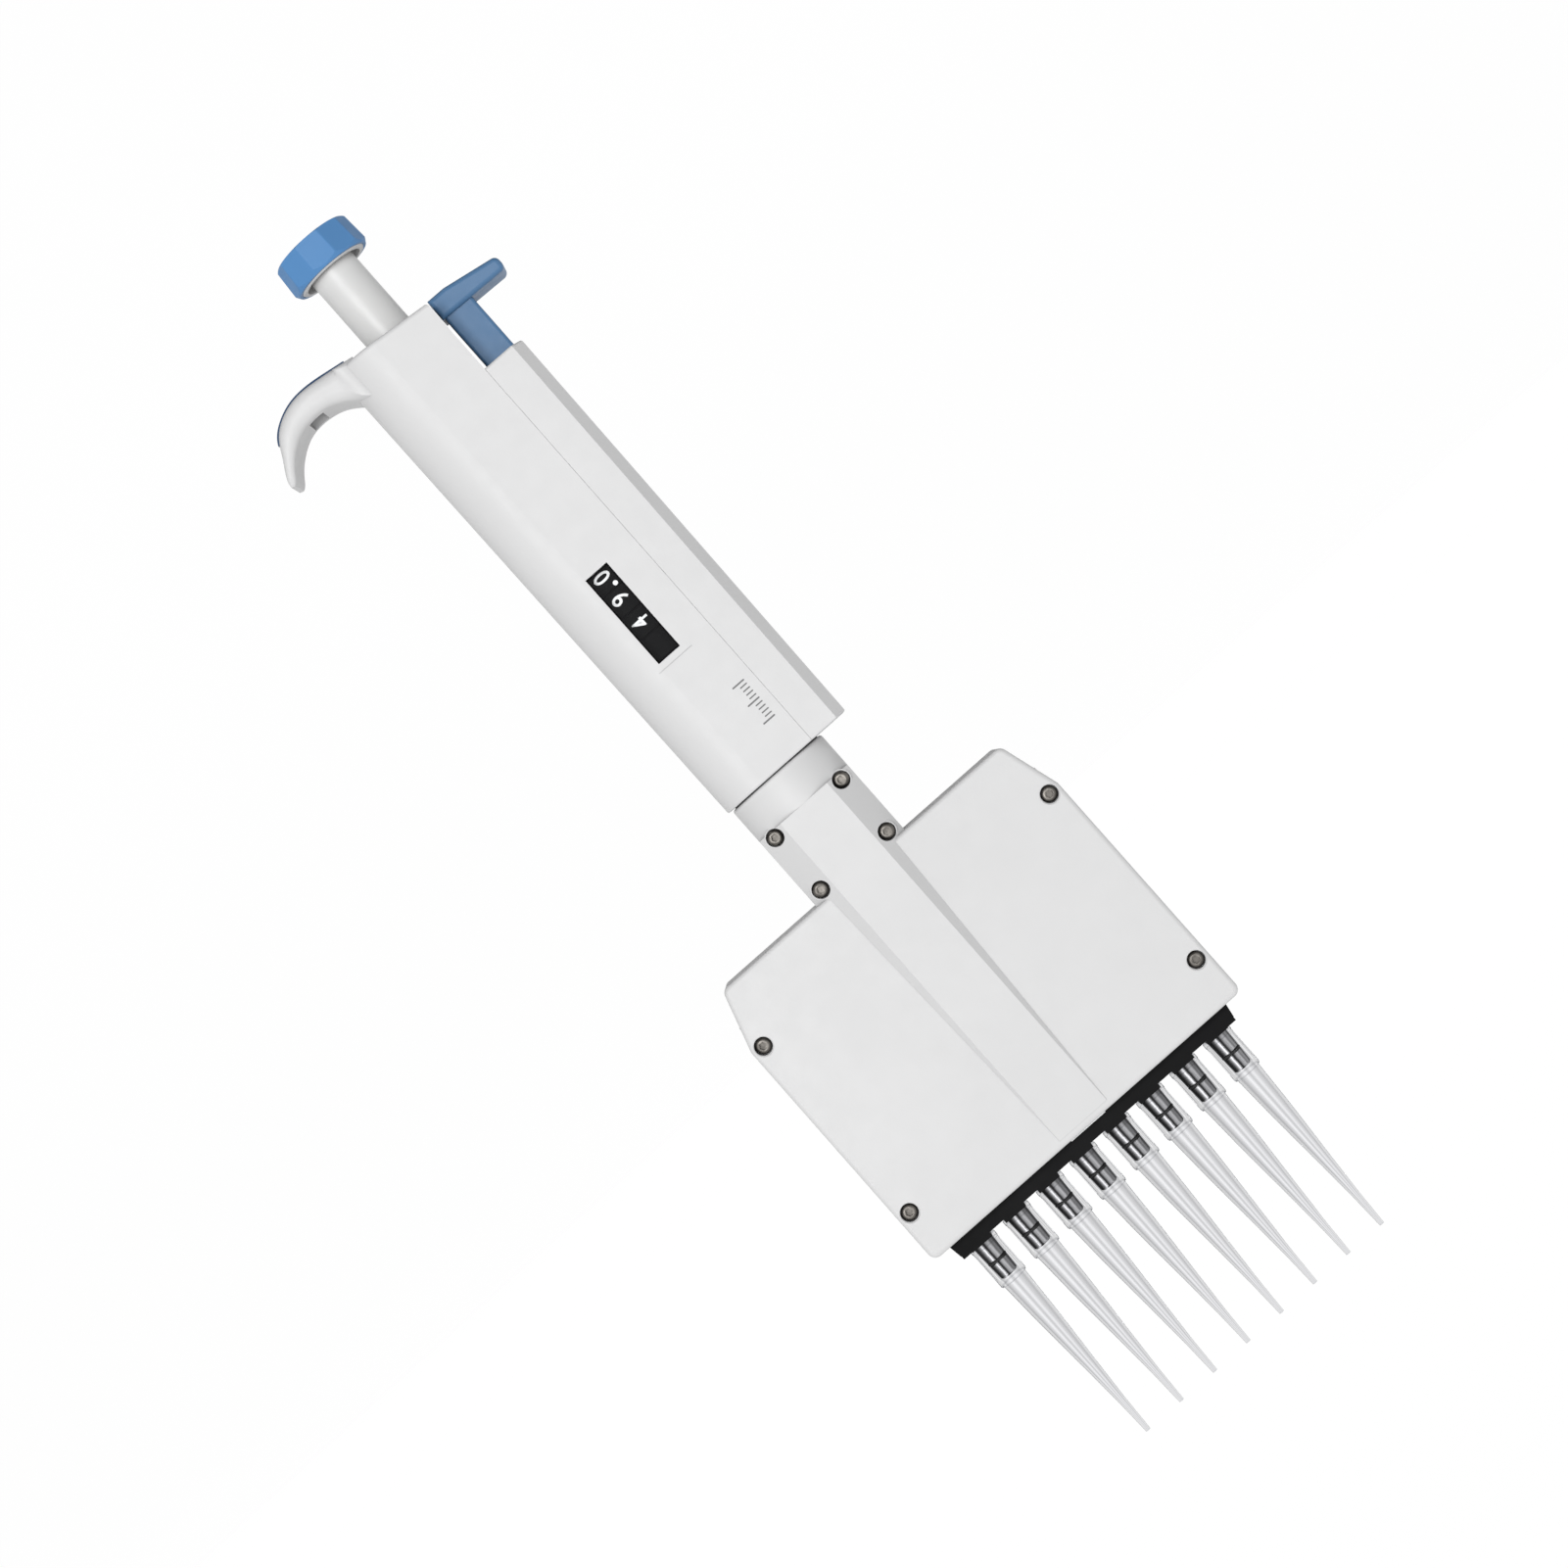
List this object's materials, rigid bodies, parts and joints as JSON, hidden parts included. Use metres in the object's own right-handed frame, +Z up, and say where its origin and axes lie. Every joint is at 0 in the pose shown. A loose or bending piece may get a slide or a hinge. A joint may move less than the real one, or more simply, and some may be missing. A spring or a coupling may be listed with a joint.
{
  "type": "multichannel pipette",
  "caption": "Hand-held multichannel pipette with turning volume knob, finger hook, side ejector lever, swivelling flat head and a row of fitted clear tips.",
  "frame": {"origin": "on the long axis, level with the orifices of the fitted tips, which is the bottom centre of the whole object", "axes": "+Z up the long axis towards the push button, -Y out of the display side, +X towards the ejector lever"},
  "size_m": [0.0816, 0.025, 0.2927],
  "materials": {
    "white_plastic": "satin moulded plastic, near white",
    "rod_white": "smooth moulded plastic, white",
    "blue_pad": "fine grained blue plastic",
    "blue_cap": "satin light blue plastic",
    "blue_lever": "satin muted blue plastic",
    "clear_lens": "polished clear plastic",
    "inner_grey": "matt grey acetal",
    "brass_nut": "turned brass",
    "black_wheel": "matt black with white digits",
    "steel": "ground steel",
    "spring_steel": "drawn spring wire",
    "black_rubber": "black elastomer",
    "dark_screw": "blackened steel",
    "cone_metal": "dark polished metal",
    "aluminium_plate": "bead blasted",
    "black_plastic": "black moulded plastic",
    "tip_clear": "clear moulded polypropylene"
  },
  "bodies": {
    "handle": {"handle_housing": "white_plastic", "ejector_cover": "white_plastic", "finger_pad": "blue_pad", "window_lens": "clear_lens", "counter_frame": "inner_grey", "top_bush": "inner_grey", "swivel_bush": "inner_grey", "main_spring": "spring_steel", "ejector_spring": "spring_steel"},
    "plunger": {"plunger_rod": "steel", "rod_clip": "spring_steel", "spring_seat": "steel"},
    "dial": {"push_button": "blue_cap", "button_liner": "white_plastic", "operating_rod": "rod_white"},
    "counter_drive": {"drive_sleeve": "inner_grey", "digit_wheel_tenths": "black_wheel"},
    "units_wheel": {"digit_wheel_units": "black_wheel"},
    "tens_wheel": {"digit_wheel_tens": "black_wheel"},
    "hundreds_wheel": {"digit_wheel_hundreds": "black_wheel"},
    "volume_nut": {"stop_nut": "brass_nut"},
    "ejector": {"ejector_button": "blue_lever", "ejector_rod": "steel", "ejector_yoke": "inner_grey", "ejector_sleeve": "inner_grey"},
    "head": {"head_front_cover": "white_plastic", "head_rear_cover": "white_plastic", "neck_tube": "white_plastic", "swivel_washer": "black_rubber", "neck_clip": "spring_steel", "neck_screws": "dark_screw", "cover_screws": "dark_screw", "head_plate": "aluminium_plate", "nozzle_block": "inner_grey", "tip_cones": "cone_metal", "cone_o_rings": "black_rubber", "seal_plate": "aluminium_plate", "piston_seals": "black_rubber", "guide_pillars": "steel", "return_springs": "spring_steel", "blowout_spring": "spring_steel"},
    "piston_carriage": {"piston_bridge": "aluminium_plate", "bridge_keeper": "aluminium_plate", "bridge_cap": "aluminium_plate", "pistons": "steel"},
    "tip_ejector": {"ejector_frame": "steel", "hub_keeper": "inner_grey", "ejector_bar": "black_plastic", "bar_screws": "dark_screw"},
    "tips": {"tip_1": "tip_clear", "tip_2": "tip_clear", "tip_3": "tip_clear", "tip_4": "tip_clear", "tip_5": "tip_clear", "tip_6": "tip_clear", "tip_7": "tip_clear", "tip_8": "tip_clear"}
  },
  "joints": [
    {"name": "button_press", "type": "slide", "parent": "handle", "child": "plunger", "axis": [0, 0, -1], "range_m": [0, 0.016], "stiffness_N_per_m": 350, "springref_m": -0.006, "deforming": ["main_spring", "return_springs", "blowout_spring"]},
    {"name": "volume_dial", "type": "hinge", "parent": "plunger", "child": "dial", "pos_m": [0, 0, 0.28], "axis": [0, 0, 1], "range_deg": [-15850, 370]},
    {"name": "counter_spin", "type": "hinge", "parent": "handle", "child": "counter_drive", "pos_m": [0, 0, 0.2], "axis": [0, 0, 1], "range_deg": [-15850, 370]},
    {"name": "units_spin", "type": "hinge", "parent": "handle", "child": "units_wheel", "pos_m": [0, 0, 0.19565], "axis": [0, 0, 1], "range_deg": [-1585, 37]},
    {"name": "tens_spin", "type": "hinge", "parent": "handle", "child": "tens_wheel", "pos_m": [0, 0, 0.18995], "axis": [0, 0, 1], "range_deg": [-158.5, 3.7]},
    {"name": "hundreds_spin", "type": "hinge", "parent": "handle", "child": "hundreds_wheel", "pos_m": [0, 0, 0.18425], "axis": [0, 0, 1], "range_deg": [-15.9, 0.4]},
    {"name": "volume_nut_travel", "type": "slide", "parent": "handle", "child": "volume_nut", "axis": [0, 0, 1], "range_m": [-0.00026, 0.01157]},
    {"name": "head_swivel", "type": "hinge", "parent": "handle", "child": "head", "pos_m": [0, 0, 0.1494], "axis": [0, 0, 1], "continuous": true},
    {"name": "carriage_spin", "type": "hinge", "parent": "plunger", "child": "piston_carriage", "pos_m": [0, 0, 0.11], "axis": [0, 0, 1], "continuous": true},
    {"name": "ejector_press", "type": "slide", "parent": "handle", "child": "ejector", "axis": [0, 0, -1], "range_m": [0, 0.008], "stiffness_N_per_m": 500, "springref_m": -0.005, "deforming": ["ejector_spring"]},
    {"name": "ejector_spin", "type": "hinge", "parent": "ejector", "child": "tip_ejector", "pos_m": [0, 0, 0.13], "axis": [0, 0, 1], "continuous": true},
    {"name": "tips_off", "type": "slide", "parent": "tip_ejector", "child": "tips", "axis": [0, 0, -1], "range_m": [0, 0.03]}
  ],
  "couplings": [
    {"joint": "volume_dial", "follows": "volume_nut_travel", "rad_per_m": -23890},
    {"joint": "counter_spin", "follows": "volume_nut_travel", "rad_per_m": -23890},
    {"joint": "units_spin", "follows": "volume_nut_travel", "rad_per_m": -2389},
    {"joint": "tens_spin", "follows": "volume_nut_travel", "rad_per_m": -238.9},
    {"joint": "hundreds_spin", "follows": "volume_nut_travel", "rad_per_m": -23.89},
    {"joint": "carriage_spin", "follows": "head_swivel", "ratio": 1},
    {"joint": "ejector_spin", "follows": "head_swivel", "ratio": 1}
  ]
}
